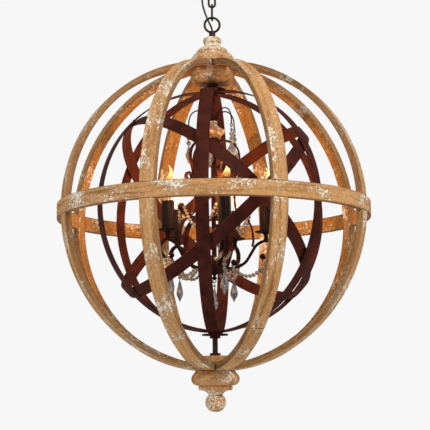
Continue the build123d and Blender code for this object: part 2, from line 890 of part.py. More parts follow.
def candle_parts():
    """Cup, pan, sleeve, socket, bulb cap and bulb on the Z axis, the bulb's tip bent to +X."""
    seat = volute_crest + arm_thickness / 2 + fit
    cup = turned(
        (0, seat),
        (cup_neck_r, seat),
        (cup_neck_r - 1, seat + 4, -0.6),
        (cup_rim_r, pan_z, -2.2),
        (0, pan_z),
    )
    pan_top = pan_z + pan_thickness
    pan = turned(
        (0, pan_z + fit),
        (pan_r - 5, pan_z + fit),
        (pan_r, pan_z + pan_rise),
        (pan_r, pan_z + pan_rise + pan_thickness),
        (pan_r - 5.4, pan_top + fit),
        (0, pan_top + fit),
    )
    floor = pan_top + 2 * fit
    sleeve = tube(sleeve_r, floor, sleeve_top) - tube(sleeve_r - sleeve_wall, floor - 1, sleeve_top + 1)
    socket_top = sleeve_top - socket_drop
    cap_low = socket_top - bulb_cap_length + 4
    socket = tube(socket_r, floor, socket_top) - tube(bulb_cap_r + fit, cap_low - fit, socket_top + 1)
    cap = tube(bulb_cap_r, cap_low, socket_top + 4)
    glass_low = socket_top + 4 + fit
    rings = []
    for share, r, shift in bulb_rings:
        rings.append(Pos(shift * bulb_bend, 0, glass_low + share * bulb_height) * Circle(r * bulb_r))
    glass = loft(rings)
    return {
        "candle_cups": cup,
        "drip_pans": pan,
        "candle_sleeves": sleeve,
        "lamp_sockets": socket,
        "bulb_caps": cap,
        "bulb_glass": glass,
    }


# ------------------------------------------------------------------- crystal
def crystal_swags():
    """Bead strands: one between each two scroll balls and a pair on each arm, drawn up on the first."""
    ball_r, ball_z = scroll_ball_at
    beside = math.asin((scroll_ball_r + bead_r + fit) / ball_r)
    away = math.radians(360 / lights) - beside
    start = (ball_r * math.sin(beside), -ball_r * math.cos(beside), ball_z - 3)
    end = (ball_r * math.sin(away), -ball_r * math.cos(away), ball_z - 3)
    between = bead_strand(start, end, upper_swag_sag)
    side = arm_width / 2 + bead_r + fit
    pieces = []
    for n, azimuth in enumerate(light_azimuths):
        beads = list(between)
        for x in (-side, side):
            start = in_front(lower_swag_start, arm_z, x)
            sag = lower_swag_sag
            if n == 0:
                start = in_front(front_swag_start, front_swag_z, x)
                sag = front_swag_sag
            end = in_front(light_r + lower_swag_past, volute_crest - 36, x)
            beads += bead_strand(start, end, sag)
        pieces += [turn_to(azimuth, bead) for bead in beads]
    return pieces


def cage_crystals():
    """The long crystals inside the scrolls, above and below the braces."""
    top = crown_bottom - 14
    slope = (crown_wide_z - crown_bottom) / (crown_r - crown_foot_r)
    crown_under = crown_bottom + slope * (cage_drop_r - pin_r - crown_foot_r)
    high = crystal_drop(cage_drop_width, cage_drop_length, top, 0.6, 0.7)
    high += tube(pin_r, top - 4, crown_under - fit)
    low_top = brace_z() - brace_thickness / 2 - 24
    low = crystal_drop(cage_drop_width, column_drop_length, low_top, 0.6, 0.7)
    low += tube(pin_r, low_top - 4, brace_z() - brace_thickness / 2 - fit)
    pieces = []
    for azimuth in hook_azimuths:
        pieces.append(turn_to(azimuth, Pos(*in_front(cage_drop_r, 0)) * high))
    for azimuth in light_azimuths:
        pieces.append(turn_to(azimuth, Pos(*in_front(column_drop_r, 0)) * low))
    return pieces


# --------------------------------------------------------------------- build
def build():
    save("ceiling_canopy", ceiling_canopy())
    save("mounting_bar", mounting_bar())
    save("canopy_loop", canopy_loop())
    save("stud_nut", stud_nut())
    for n, mid in enumerate(link_mid_z):
        save(f"chain_link_{n + 1}", chain_link(mid, "x" if n % 2 == 0 else "y"))
    save("supply_cord", hang(supply_cord()))
    save("top_loop", hang(top_loop()))

    save("top_cap", hang(top_cap()))
    for n in range(2 * rib_pairs):
        save(f"globe_rib_{n + 1}", hang(globe_rib(rib_azimuth + 180 / rib_pairs * n)))
    save("equator_hoop", hang(equator_hoop()))
    save("upper_hub_disc", hang(upper_hub_disc()))
    save("lower_hub_disc", hang(lower_hub_disc()))
    save("bottom_finial", hang(bottom_finial()))

    save("centre_rod", hang(centre_rod()))
    save("lower_rod", hang(lower_rod()))
    save("orb_clamps", *[hang(p) for p in orb_clamps()])
    straps, rivets = strap_orb()
    for n, strap in enumerate(straps[: len(meridian_azimuths)]):
        save(f"meridian_strap_{n + 1}", hang(strap))
    for n, strap in enumerate(straps[len(meridian_azimuths) :]):
        save(f"tilted_strap_{n + 1}", hang(strap))
    save("strap_rivets", *[hang(r) for r in rivets])

    save("crown_cap", hang(crown_cap()))
    save("pendant_hooks", hang(pendant_hooks()))
    save("arm_hub", hang(arm_hub()))
    for n, azimuth in enumerate(light_azimuths):
        save(f"candle_arm_{n + 1}", hang(candle_arm(azimuth)))
    scrolls = [turn_to(a, p) for a in light_azimuths for p in scroll_set()]
    save("cage_scrolls", *[hang(p) for p in spiders() + scrolls])
    for name, piece in candle_parts().items():
        save(name, *[hang(light_place(a) * piece) for a in light_azimuths])

    save("crystal_swags", *[hang(p) for p in crystal_swags()])
    save("cage_crystals", *[hang(p) for p in cage_crystals()])
    upper = pendant(upper_drop_beads, upper_drop_width, upper_drop_length, 0.55)
    upper = Pos(*in_front(hook_r, upper_pivot_z)) * upper
    for n, azimuth in enumerate(hook_azimuths):
        save(f"upper_drop_{n + 1}", hang(turn_to(azimuth, upper)))
    lower = pendant(lower_drop_beads, lower_drop_width, lower_drop_length, 0.6)
    lower = Pos(*in_front(volute_ball_at[0], lower_pivot_z)) * lower
    for n, azimuth in enumerate(light_azimuths):
        save(f"lower_drop_{n + 1}", hang(turn_to(azimuth, lower)))
    centre = pendant(centre_drop_beads, centre_drop_width, centre_drop_length, 0.6)
    save("centre_drop", hang(Pos(0, 0, centre_pivot_z) * centre))


build()
bars = [first_bar_z] + [z - (link_length - link_wire) / 2 for z in link_mid_z]
print("globe centre:", round(centre_z, 2), "loop bar:", loop_bar_z)
print("link bars:", [round(z, 2) for z in bars], "ring:", round(ring_z, 2))
print("pivots:", [round(z + centre_z, 2) for z in (upper_pivot_z, lower_pivot_z, centre_pivot_z)])
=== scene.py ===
"""Orb chandelier: the looks of the weathered globe, the iron orb and the crystal candelabra.

Azimuths are in degrees from the front (-Y) towards +X. Heights named _Z are from the globe's centre.
"""

import json
import math

import bpy
import numpy as np
from mathutils import Matrix, Vector


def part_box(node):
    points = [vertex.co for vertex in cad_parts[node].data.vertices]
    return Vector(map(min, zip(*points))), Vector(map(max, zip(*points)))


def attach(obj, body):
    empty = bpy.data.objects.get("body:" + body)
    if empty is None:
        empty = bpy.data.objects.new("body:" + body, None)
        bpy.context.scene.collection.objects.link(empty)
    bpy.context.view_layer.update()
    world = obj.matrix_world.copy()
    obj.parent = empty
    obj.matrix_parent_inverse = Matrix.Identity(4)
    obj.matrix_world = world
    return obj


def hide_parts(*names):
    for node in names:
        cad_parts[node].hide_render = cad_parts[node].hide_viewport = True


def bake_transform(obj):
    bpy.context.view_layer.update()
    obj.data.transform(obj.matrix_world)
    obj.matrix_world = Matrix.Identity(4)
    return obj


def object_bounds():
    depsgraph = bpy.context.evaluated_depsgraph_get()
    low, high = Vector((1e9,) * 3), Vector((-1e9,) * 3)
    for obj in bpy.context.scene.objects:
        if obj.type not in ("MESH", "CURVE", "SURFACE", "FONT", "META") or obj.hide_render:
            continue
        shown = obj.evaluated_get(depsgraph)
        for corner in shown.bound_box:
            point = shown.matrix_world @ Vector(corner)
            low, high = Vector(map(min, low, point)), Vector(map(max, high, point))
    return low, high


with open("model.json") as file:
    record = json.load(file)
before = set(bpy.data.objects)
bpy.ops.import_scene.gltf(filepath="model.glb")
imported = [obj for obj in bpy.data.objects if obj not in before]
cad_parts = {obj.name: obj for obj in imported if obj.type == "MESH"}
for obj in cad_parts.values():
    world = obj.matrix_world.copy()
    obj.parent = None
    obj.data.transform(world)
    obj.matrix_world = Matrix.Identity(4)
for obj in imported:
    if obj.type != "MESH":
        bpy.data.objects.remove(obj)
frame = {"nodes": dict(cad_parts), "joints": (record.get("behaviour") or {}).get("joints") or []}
cad_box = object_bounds()
joints = {j["name"]: j for j in frame["joints"]}

# ---------------------------------------------------------------- dimensions
MM = 0.001
FIT = 0.1 * MM  # between pieces that are fixed to each other

# Globe, orb and chain
GLOBE_R = 325 * MM
HOOP_RAISE = 3 * MM  # from the globe's centre up to the hoop's middle
RIBS = 8
MERIDIAN_STRAPS = 3
TILTED_STRAPS = 2
CHAIN_LINKS = 3
RIB_AZIMUTH = 22.5  # of the first rib
RIB_WIDTH = 32 * MM
RIB_THICKNESS = 13 * MM
SEAM_ANGLE = -50  # degrees, from the level to the joint in the first rib

# Lights
LIGHTS = 5
ARM_AZIMUTH = 11.5  # of the first light
SLEEVE_R = 13 * MM
SLEEVE_WALL = 1.8 * MM
BULB_HEIGHT = 76 * MM
BULB_R = 16.5 * MM
BULB_BEND = 7 * MM

# Places worked out from the frame
sleeves_low, sleeves_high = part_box("candle_sleeves")
LIGHT_R = (-sleeves_low[1] - SLEEVE_R) / math.cos(math.radians(ARM_AZIMUTH))
hoop_low, hoop_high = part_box("equator_hoop")
CENTRE = Vector((0, 0, (hoop_low[2] + hoop_high[2]) / 2 - HOOP_RAISE))
light_azimuths = [ARM_AZIMUTH + 360 / LIGHTS * n for n in range(LIGHTS)]
hook_azimuths = [a + 180 / LIGHTS for a in light_azimuths]

# -------------------------------------------------------------------- camera
FRAME_PX = 430  # the photograph's width and height
FOCAL_PX = 1248.2
CENTRE_PX = (213.9, 214.6)  # where the globe's centre shows
CAMERA_DISTANCE = 2.6
CAMERA_ELEVATION = math.radians(-8.6)
CAMERA_ROLL = math.radians(-0.55)
SENSOR_WIDTH = 36  # millimetres, as Blender gives it


def make_camera():
    """The photograph's camera: in front of the globe, a little below it, looking up."""
    data = bpy.data.cameras.new("camera")
    data.sensor_width = SENSOR_WIDTH
    data.lens = FOCAL_PX / FRAME_PX * SENSOR_WIDTH
    data.shift_x = (FRAME_PX / 2 - CENTRE_PX[0]) / FRAME_PX
    data.shift_y = (CENTRE_PX[1] - FRAME_PX / 2) / FRAME_PX
    camera = bpy.data.objects.new("camera", data)
    bpy.context.scene.collection.objects.link(camera)
    away = Vector((0, -math.cos(CAMERA_ELEVATION), math.sin(CAMERA_ELEVATION)))
    turn = (-away).to_track_quat("-Z", "Y").to_matrix().to_4x4()
    place = Matrix.Translation(CENTRE + away * CAMERA_DISTANCE)
    camera.matrix_world = place @ turn @ Matrix.Rotation(CAMERA_ROLL, 4, "Z")
    bpy.context.scene.camera = camera


make_camera()


# ------------------------------------------------------------ shader helpers
class Value:
    """A node's output that takes part in arithmetic: each operation adds its Math node."""

    def __init__(self, paint, socket):
        self.paint = paint
        self.socket = socket

    def combine(self, operation, first, second=0.0):
        node = self.paint.node("ShaderNodeMath", {"operation": operation}, {0: first, 1: second})
        return Value(self.paint, node.outputs[0])

    def __add__(self, other):
        return self.combine("ADD", self, other)

    def __radd__(self, other):
        return self.combine("ADD", other, self)

    def __sub__(self, other):
        return self.combine("SUBTRACT", self, other)

    def __rsub__(self, other):
        return self.combine("SUBTRACT", other, self)

    def __mul__(self, other):
        return self.combine("MULTIPLY", self, other)

    def __rmul__(self, other):
        return self.combine("MULTIPLY", other, self)

    def __neg__(self):
        return self * -1

    def __pow__(self, other):
        return self.combine("POWER", self, other)

    def __abs__(self):
        return self.combine("ABSOLUTE", self)

    def most(self, other):
        """The larger of the two."""
        return self.combine("MAXIMUM", self, other)

    def angle(self, other):
        """The angle in radians of a point that lies other ahead and this value to the side."""
        return self.combine("ARCTAN2", self, other)

    def steps(self, low, high):
        """0 at low and 1 at high, with a smooth change between them; low may be the larger."""
        rises = low < high
        sockets = {
            "Value": self,
            "From Min": min(low, high),
            "From Max": max(low, high),
            "To Min": 0 if rises else 1,
            "To Max": 1 if rises else 0,
        }
        settings = {"interpolation_type": "SMOOTHSTEP"}
        node = self.paint.node("ShaderNodeMapRange", settings, sockets)
        return Value(self.paint, node.outputs["Result"])


class Paint:
    """A material under construction, with short names for the nodes it needs."""

    def __init__(self, name):
        self.material = bpy.data.materials.new(name)
        self.material.use_nodes = True
        self.nodes = self.material.node_tree.nodes
        self.links = self.material.node_tree.links
        self.shader = self.nodes["Principled BSDF"]

    def feed(self, socket, value):
        """Links a value to a socket, or writes a constant on it."""
        if isinstance(value, Value):
            self.links.new(value.socket, socket)
        elif socket.type == "RGBA":
            socket.default_value = (*value, 1)
        else:
            socket.default_value = value

    def node(self, kind, settings=None, sockets=None):
        """A new node: its settings are made first, then its sockets get constants or links."""
        node = self.nodes.new(kind)
        for name, value in (settings or {}).items():
            setattr(node, name, value)
        for key, value in (sockets or {}).items():
            self.feed(node.inputs[key], value)
        return node

    def set(self, **values):
        """Sets the shader's own sockets: base_color is the input Base Color."""
        for name, value in values.items():
            socket = name.replace("_", " ").title().replace("Ior", "IOR")
            self.feed(self.shader.inputs[socket], value)

    def coordinates(self, kind):
        """The texture coordinates of one kind as three values."""
        vector = Value(self, self.node("ShaderNodeTexCoord").outputs[kind])
        split = self.node("ShaderNodeSeparateXYZ", sockets={0: vector})
        return tuple(Value(self, output) for output in split.outputs)

    def place(self):
        """The point's x, y and z in the object, from the globe's centre."""
        x, y, z = self.coordinates("Object")
        return x, y, z - CENTRE.z

    def facing(self):
        """The surface's own direction in the object as three values."""
        return self.coordinates("Normal")

    def vector(self, x, y, z):
        node = self.node("ShaderNodeCombineXYZ", sockets={0: x, 1: y, 2: z})
        return Value(self, node.outputs[0])

    def noise(self, vector, scale=1.0, detail=4.0, roughness=0.55, distortion=0.0):
        sockets = {
            "Vector": vector,
            "Scale": scale,
            "Detail": detail,
            "Roughness": roughness,
            "Distortion": distortion,
        }
        return Value(self, self.node("ShaderNodeTexNoise", sockets=sockets).outputs[0])

    def mix(self, share, first, second):
        """The colour first where share is 0 and second where it is 1."""
        sockets = {0: share, 6: first, 7: second}
        return Value(self, self.node("ShaderNodeMix", {"data_type": "RGBA"}, sockets).outputs[2])

    def bump(self, height, depth, strength):
        """Relief of the given depth in metres where height goes from 0 to 1."""
        sockets = {"Strength": strength, "Distance": depth, "Height": height}
        self.set(normal=Value(self, self.node("ShaderNodeBump", sockets=sockets).outputs[0]))


# ----------------------------------------------------------------- materials
# A noise that is fed with metres times n has about n features per metre.
WOOD_TAN = (0.62, 0.325, 0.125)
WOOD_PALE = (0.80, 0.50, 0.24)
WOOD_BROWN = (0.27, 0.115, 0.038)
WOOD_GREY = (0.39, 0.24, 0.13)
# Bare wood of the inner faces, with the bulbs' warm light painted into it
WOOD_RAW_LIT = (0.52, 0.27, 0.075)
WOOD_RAW_LIT_DARK = (0.30, 0.13, 0.035)
WOOD_SEED_STEP = 3.7  # metres along the grain from one piece's pattern to the next
CREAM = (0.94, 0.84, 0.68)
# Dark colour for dirt, and for the painted shade on the boards' sides and corners
DIRT_AND_SHADE = (0.06, 0.03, 0.015)
IRON_DARK = (0.034, 0.0065, 0.004)
IRON_BROWN = (0.080, 0.015, 0.008)
IRON_RUST = (0.14, 0.030, 0.012)
BRONZE_DARK = (0.018, 0.011, 0.009)
BRONZE_WORN = (0.055, 0.030, 0.020)
BRASS = (0.80, 0.58, 0.28)
STEEL = (0.62, 0.62, 0.60)
WAX_DARK = (0.010, 0.004, 0.003)
WAX_STREAK = (0.072, 0.027, 0.013)
WAX_SMOKE = (0.030, 0.010, 0.005)
RUBBER_DARK = (0.006, 0.006, 0.006)
RUBBER_PALE = (0.022, 0.020, 0.019)
# Painted reflections and glints for the facets of the crystal and the beads, the beads' with painted
# warm bulb light
CRYSTAL_REFLECTIONS = ((0.28, 0.33, 0.40), (0.97, 0.90, 0.82), (0.60, 0.46, 0.38))
BEAD_REFLECTIONS = ((0.34, 0.22, 0.13), (0.95, 0.78, 0.55), (1.0, 0.95, 0.88))
GLASS_IOR = 1.5
BLACK = (0, 0, 0)
BULB_BODY = (0.12, 0.10, 0.06)
BULB_AMBER = (1.0, 0.80, 0.40)
BULB_YELLOW = (1.0, 0.88, 0.34)
FILAMENT_COLD = (0.2, 0.1, 0.05)
FILAMENT_HOT = (1.0, 0.62, 0.22)
FLOOR_DARK = (0.80, 0.80, 0.80)
FLOOR_PALE = (0.84, 0.84, 0.84)


def rib_wood(azimuth, seed, seam_at=None):
    """The bent board of one rib, with its grain round the globe."""
    paint = Paint(f"rib_wood_{seed}")
    turn = math.radians(azimuth)
    x, y, z = paint.place()
    out = x * math.sin(turn) - y * math.cos(turn)
    across = x * math.cos(turn) + y * math.sin(turn)
    radius = (out * out + z * z) ** 0.5
    return board(paint, z.angle(out) * GLOBE_R, across, radius, seed, seam_at)


def hoop_wood(seed):
    """The bent board of the level hoop."""
    paint = Paint("hoop_wood")
    x, y, z = paint.place()
    radius = (x * x + y * y) ** 0.5
    return board(paint, x.angle(-y) * GLOBE_R, z - HOOP_RAISE, radius, seed)


def board(paint, along, across, radius, seed, seam_at=None):
    """Weathered wood on a board that bends round the globe; seam_at is a joint along it."""
    corner = RIB_WIDTH / 2
    # The board's sides and corners: painted shade darkens them and thins their paint
    edge_shade = abs(across).steps(corner - 2.2 * MM, corner - 0.4 * MM)
    inner_face = GLOBE_R - RIB_THICKNESS
    # The inner face: bare wood, with the bulbs' warm light painted into its colour
    inside = radius.steps(inner_face + 4 * MM, inner_face + 0.5 * MM)
    seam = 0.0
    if seam_at is not None:
        seam = abs(along - seam_at).steps(0.9 * MM, 0.4 * MM)
    return finish_wood(paint, along, across, radius, seed, edge_shade, inside, seam)


def finish_wood(paint, along, across, through, seed, edge_shade=0.0, inside=0.0, seam=0.0, paint_left=0.0):
    """Colour, wear and relief of weathered wood, from lengths along, across and through it.

    The masks of a board's sides and corners, inner face and joint are 1 there: the sides and corners
    get painted shade, and the inner face bare wood with painted warm light from the bulbs.
    paint_left is above 0 where more of the old cream paint is left.
    """
    a = along + seed * WOOD_SEED_STEP

    def noise(lengthwise, crosswise, **settings):
        """Noise with so many features per metre along the grain and across it."""
        at = paint.vector(a * lengthwise, across * crosswise, through * crosswise)
        return paint.noise(at, **settings)

    grain = noise(9, 110, detail=5, roughness=0.6, distortion=0.4)
    fibre = noise(60, 520, detail=3, roughness=0.6)
    cloud = noise(15, 24, detail=5, roughness=0.65)
    mottle = noise(150, 210, detail=4, roughness=0.7)
    colour = paint.mix(grain.steps(0.26, 0.56), WOOD_BROWN, WOOD_TAN)
    colour = paint.mix(grain.steps(0.50, 0.80) * 0.8, colour, WOOD_PALE)
    colour = paint.mix(cloud.steps(0.48, 0.68) * 0.55, colour, WOOD_GREY)
    colour = paint.mix(mottle.steps(0.50, 0.66) * 0.4, colour, WOOD_PALE)
    colour = paint.mix(mottle.steps(0.48, 0.34) * 0.4, colour, WOOD_BROWN)
    # Bare wood on the inner face, partly its own colour and partly painted warm light from the bulbs
    raw_and_lit = paint.mix(mottle.steps(0.36, 0.64), WOOD_RAW_LIT_DARK, WOOD_RAW_LIT)
    colour = paint.mix(inside * 0.85, colour, raw_and_lit)

    # Flecks of cream paint in clusters, with a thin wash round them
    flecks = noise(170, 210, detail=5, roughness=0.68, distortion=0.2)
    cluster = noise(15, 24, detail=2, roughness=0.5)
    chips = flecks + cluster * 0.75 - edge_shade * 0.05 - inside * 0.02 + paint_left
    painted = chips.steps(0.992, 1.004)
    wash = chips.steps(0.88, 0.99) * 0.22
    colour = paint.mix(wash, colour, CREAM)
    colour = paint.mix(painted, colour, CREAM)

    # Dirt in pits, in long streaks and in the joint, and painted shade on the board's sides and
    # corners
    pits = noise(230, 300, detail=3, roughness=0.7).steps(0.66, 0.71)
    streaks = noise(12, 170, detail=5, roughness=0.65).steps(0.62, 0.70)
    dirt_and_shade = (pits * 0.85).most(streaks * 0.5).most(edge_shade * 0.45).most(seam * 0.9)
    colour = paint.mix(dirt_and_shade, colour, DIRT_AND_SHADE)

    height = grain * 0.15 + mottle * 0.35 + painted * 0.6 - pits * 0.7 - streaks * 0.4
    paint.bump(height, 0.5 * MM, 0.7)
    roughness = 0.66 + fibre * 0.25 - painted * 0.08
    paint.set(base_color=colour, roughness=roughness, specular_ior_level=0.15)
    return paint.material


def turned_wood(name, seed, paint_left):
    """Weathered wood on a turned piece, with its grain across the lathe's axis."""
    paint = Paint(name)
    x, y, z = paint.place()
    return finish_wood(paint, x, y, z, seed, paint_left=paint_left)


def rust_iron(name, tone=1.0):
    """Rust-brown paint on hammered iron, rubbed lighter in places."""
    paint = Paint(name)
    at = paint.vector(*paint.place())
    cloud = paint.noise(at, scale=38, detail=5, roughness=0.6)
    speck = paint.noise(at, scale=900, detail=3, roughness=0.7)
    dark, brown, rust = (tone * np.array([IRON_DARK, IRON_BROWN, IRON_RUST])).tolist()
    colour = paint.mix(cloud.steps(0.30, 0.62), dark, brown)
    colour = paint.mix(speck.steps(0.56, 0.74) * 0.55, colour, rust)
    paint.bump(cloud * 0.6 + speck * 0.4, 0.35 * MM, 0.6)
    paint.set(base_color=colour, roughness=0.50 + speck * 0.25, specular_ior_level=0.12)
    return paint.material


def dark_iron(name):
    """Dark bronze finish on smooth rods and chain, worn brighter in patches."""
    paint = Paint(name)
    at = paint.vector(*paint.place())
    cloud = paint.noise(at, scale=70, detail=4, roughness=0.6)
    speck = paint.noise(at, scale=1300, detail=2, roughness=0.6)
    colour = paint.mix(cloud.steps(0.35, 0.65), BRONZE_DARK, BRONZE_WORN)
    paint.bump(speck, 0.15 * MM, 0.5)
    paint.set(base_color=colour, roughness=0.34 + cloud * 0.2, metallic=0.7)
    return paint.material


def plated(name, colour, roughness):
    """Plated or bare metal with fine drawn lines."""
    paint = Paint(name)
    x, y, z = paint.place()
    lines = paint.noise(paint.vector(x * 300, y * 300, z * 2500), detail=2)
    shade = tuple(0.72 * c for c in colour)
    paint.bump(lines, 0.05 * MM, 0.4)
    paint.set(base_color=paint.mix(lines, shade, colour), metallic=1.0)
    paint.set(roughness=roughness + lines * 0.1)
    return paint.material


def sleeve_wax(name):
    """Dark brown-black candle sleeve with paler streaks running down it."""
    paint = Paint(name)
    x, y, z = paint.place()
    streak = paint.noise(paint.vector(x * 420, y * 420, z * 14), detail=4, roughness=0.65)
    mottle = paint.noise(paint.vector(x * 160, y * 160, z * 60), detail=3)
    colour = paint.mix(streak.steps(0.44, 0.72), WAX_DARK, WAX_STREAK)
    colour = paint.mix(mottle.steps(0.60, 0.75) * 0.6, colour, WAX_SMOKE)
    paint.bump(streak, 0.8 * MM, 0.8)
    paint.set(base_color=colour, roughness=0.5 + mottle * 0.3, specular_ior_level=0.2)
    return paint.material


def black_rubber(name, lines=1500.0):
    """Black plastic or rubber with a faint wound grain, so many lines to a metre of height."""
    paint = Paint(name)
    x, y, z = paint.place()
    grain = paint.noise(paint.vector(x * 300, y * 300, z * lines), detail=2)
    colour = paint.mix(grain, RUBBER_DARK, RUBBER_PALE)
    paint.bump(grain, 0.1 * MM, 0.5)
    paint.set(base_color=colour, roughness=0.42 + grain * 0.2)
    return paint.material


def cut_glass(name, facet_reflections, clear=0.6):
    """Cut crystal whose flat facets each take one of three painted reflection colours by the way
    they face, with blotches of painted dark reflection.
    """
    paint = Paint(name)
    nx, ny, nz = paint.facing()
    facet = paint.noise(paint.vector(nx * 7, ny * 7, nz * 7), detail=1)
    # Blotches of painted dark reflection in the glass
    dark_reflection = paint.noise(paint.vector(*paint.place()), scale=160, detail=2)
    # Each facet gets one painted reflection colour by the way it faces
    colour = paint.mix(facet.steps(0.44, 0.48), facet_reflections[0], facet_reflections[1])
    colour = paint.mix(facet.steps(0.54, 0.58), colour, facet_reflections[2])
    colour = paint.mix(dark_reflection.steps(0.40, 0.70) * 0.5, colour, tuple(0.35 * c for c in facet_reflections[0]))
    paint.set(base_color=colour, roughness=0.05, transmission_weight=clear, ior=GLASS_IOR)
    return paint.material


def lit_glass(name, low, high):
    """A clear bulb between two heights that glows pale yellow towards its bent tip."""
    paint = Paint(name)
    _, _, z = paint.place()
    tip = z.steps(low + 0.54 * (high - low), low + 0.76 * (high - low))
    lit = paint.mix(tip, BLACK, paint.mix(tip, BULB_AMBER, BULB_YELLOW))
    paint.set(base_color=BULB_BODY, roughness=0.05, alpha=0.03 + tip * 0.87)
    paint.set(emission_color=lit, emission_strength=1.0)
    return paint.material


def glow(name, colour, strength):
    """A hot filament, a little uneven along its turns."""
    paint = Paint(name)
    flicker = paint.noise(paint.vector(*paint.place()), scale=400, detail=1)
    cooler = tuple(c * 2 / 3 for c in colour)
    paint.set(base_color=FILAMENT_COLD, emission_color=paint.mix(flicker, cooler, colour))
    paint.set(emission_strength=strength)
    return paint.material


def pale_floor(name):
    """A plain pale floor with a trace of mottling."""
    paint = Paint(name)
    x, y, _ = paint.place()
    mottle = paint.noise(paint.vector(x, y, 0.0), scale=3, detail=3)
    paint.set(base_color=paint.mix(mottle, FLOOR_DARK, FLOOR_PALE), roughness=0.7)
    return paint.material


iron = rust_iron("rust_iron")
scroll_iron = rust_iron("scroll_iron", 0.9)
arm_iron = rust_iron("arm_iron", 0.42)
bronze = dark_iron("dark_iron")
brass = plated("brass", BRASS, 0.25)
steel = plated("plated_steel", STEEL, 0.35)
rubber = black_rubber("black_rubber")
crystal = cut_glass("crystal", CRYSTAL_REFLECTIONS)
bead_glass = cut_glass("bead_crystal", BEAD_REFLECTIONS, 0.5)


# -------------------------------------------------------------- mesh helpers
class Shape:
    """Points, an array of n by 3, and faces, a list of arrays of the numbers of their points."""

    def __init__(self, points, faces):
        self.points = points
        self.faces = faces

    def moved(self, matrix):
        """The same form, turned and moved."""
        matrix = np.array(matrix)
        return Shape(self.points @ matrix[:3, :3].T + matrix[:3, 3], self.faces)


def joined(shapes):
    """Several forms as one."""
    starts = np.cumsum([0] + [len(shape.points) for shape in shapes])
    points = np.concatenate([shape.points for shape in shapes])
    faces = [block + start for shape, start in zip(shapes, starts) for block in shape.faces]
    return Shape(points, faces)


def new_piece(name, shape, material, body, smooth=False):
    """A mesh object that rides on a body, or on none where body is None."""
    mesh = bpy.data.meshes.new(name)
    faces = [face for block in shape.faces for face in block.tolist()]
    mesh.from_pydata(shape.points.tolist(), [], faces)
    mesh.materials.append(material)
    mesh.polygons.foreach_set("use_smooth", [smooth] * len(mesh.polygons))
    mesh.update()
    piece = bpy.data.objects.new(name, mesh)
    bpy.context.scene.collection.objects.link(piece)
    if body:
        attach(piece, body)
    return piece


def full_turn(count):
    """Angles in radians, evenly spaced round a circle."""
    return np.linspace(0, 2 * np.pi, count, endpoint=False)


def grid(x, y, z):
    """Points (x, y, z) from arrays or numbers that are stretched to one size."""
    return np.stack(np.broadcast_arrays(x, y, z), axis=-1)


def numbers(rings):
    """The number of each point of rows by sides, and of the next point on its ring."""
    here = np.arange(rings.shape[0] * rings.shape[1]).reshape(rings.shape[:2])
    return here, np.roll(here, -1, axis=1)


def skin(rings, loop=False):
    """A surface over rings of points, rows by sides by 3.

    A quad joins each point and the next on its ring to the same two on the next ring. With
    loop, the last ring is joined to the first, and otherwise both get a flat face.
    """
    here, beside = numbers(rings)
    quads = np.stack([here, beside, np.roll(beside, -1, axis=0), np.roll(here, -1, axis=0)], axis=-1)
    if loop:
        return Shape(rings.reshape(-1, 3), [quads.reshape(-1, 4)])
    ends = np.stack([here[0, ::-1], here[-1]])
    return Shape(rings.reshape(-1, 3), [quads[:-1].reshape(-1, 4), ends])


def tube(path, radius, sides=12):
    """A round tube with closed ends.

    Its circle, radius * (cos t, sin t), is square to the path, and is carried along it without
    twist: each point's side direction is the last one's, less its part along the path.
    """
    path = np.array(path, float)
    ahead = np.gradient(path, axis=0)
    ahead /= np.linalg.norm(ahead, axis=1)[:, None]
    side = np.cross(ahead[0], (0.31, 0.87, 0.38))  # no path here starts this way
    axes = []
    for way in ahead:
        side = side - way * np.dot(side, way)
        side /= np.linalg.norm(side)
        axes.append((side, np.cross(way, side)))
    t = full_turn(sides)
    circle = radius * np.stack([np.cos(t), np.sin(t)], axis=1)
    return skin(path[:, None] + circle @ np.array(axes))


def pin(low, high, radius):
    """A straight upright pin on the axis."""
    return tube([(0, 0, low), (0, 0, (low + high) / 2), (0, 0, high)], radius, 8)


def wire_eye(height, radius, wire_r, sides=8, turns=28):
    """A wire ring about a point on the axis, with its hole facing X.

    The wire's circle, (wire_r sin u, radius + wire_r cos u), is carried round X by t.
    """
    u = full_turn(sides)
    t = full_turn(turns)[:, None]
    r = radius + wire_r * np.cos(u)
    return skin(grid(wire_r * np.sin(u), r * np.cos(t), height + r * np.sin(t)), loop=True)


def cut_stone(levels, sides=8):
    """A cut form with flat facets, from rings of (width, depth, height) from the top down.

    A ring's points are (width / 2 cos t, depth / 2 sin t, height), and every other ring is
    turned by half a facet, so two triangles join a point and the next to the next ring.
    """
    width, depth, height = np.array(levels).T[:, :, None]
    turned = np.arange(len(levels))[:, None] % 2
    t = full_turn(sides) + turned * np.pi / sides
    rings = grid(width / 2 * np.cos(t), depth / 2 * np.sin(t), height)
    here, beside = numbers(rings)
    high, high_next, low, low_next = here[:-1], beside[:-1], here[1:], beside[1:]
    straight = np.stack([high, low, high_next, high_next, low, low_next], axis=-1)
    leaning = np.stack([high, low, low_next, high, low_next, high_next], axis=-1)
    triangles = np.where(turned[:-1, :, None], leaning, straight).reshape(-1, 3)
    ends = np.stack([here[0], here[-1, ::-1]])
    return Shape(rings.reshape(-1, 3), [triangles, ends])


BEAD_LEVELS = (0.95, 0.62, 0.0, -0.62, -0.95)  # shares of a bead's radius


def cut_bead(radius, sides=8):
    """A small faceted bead, with its rings on a ball of the radius."""
    height = radius * np.array(BEAD_LEVELS)
    width = 2 * np.sqrt(radius**2 - height**2)
    return cut_stone(np.stack([width, width, height], axis=1), sides)


NARROW = 0.2  # share of a drop's width below which a ring is nearly round
NARROW_DEPTH = 0.8


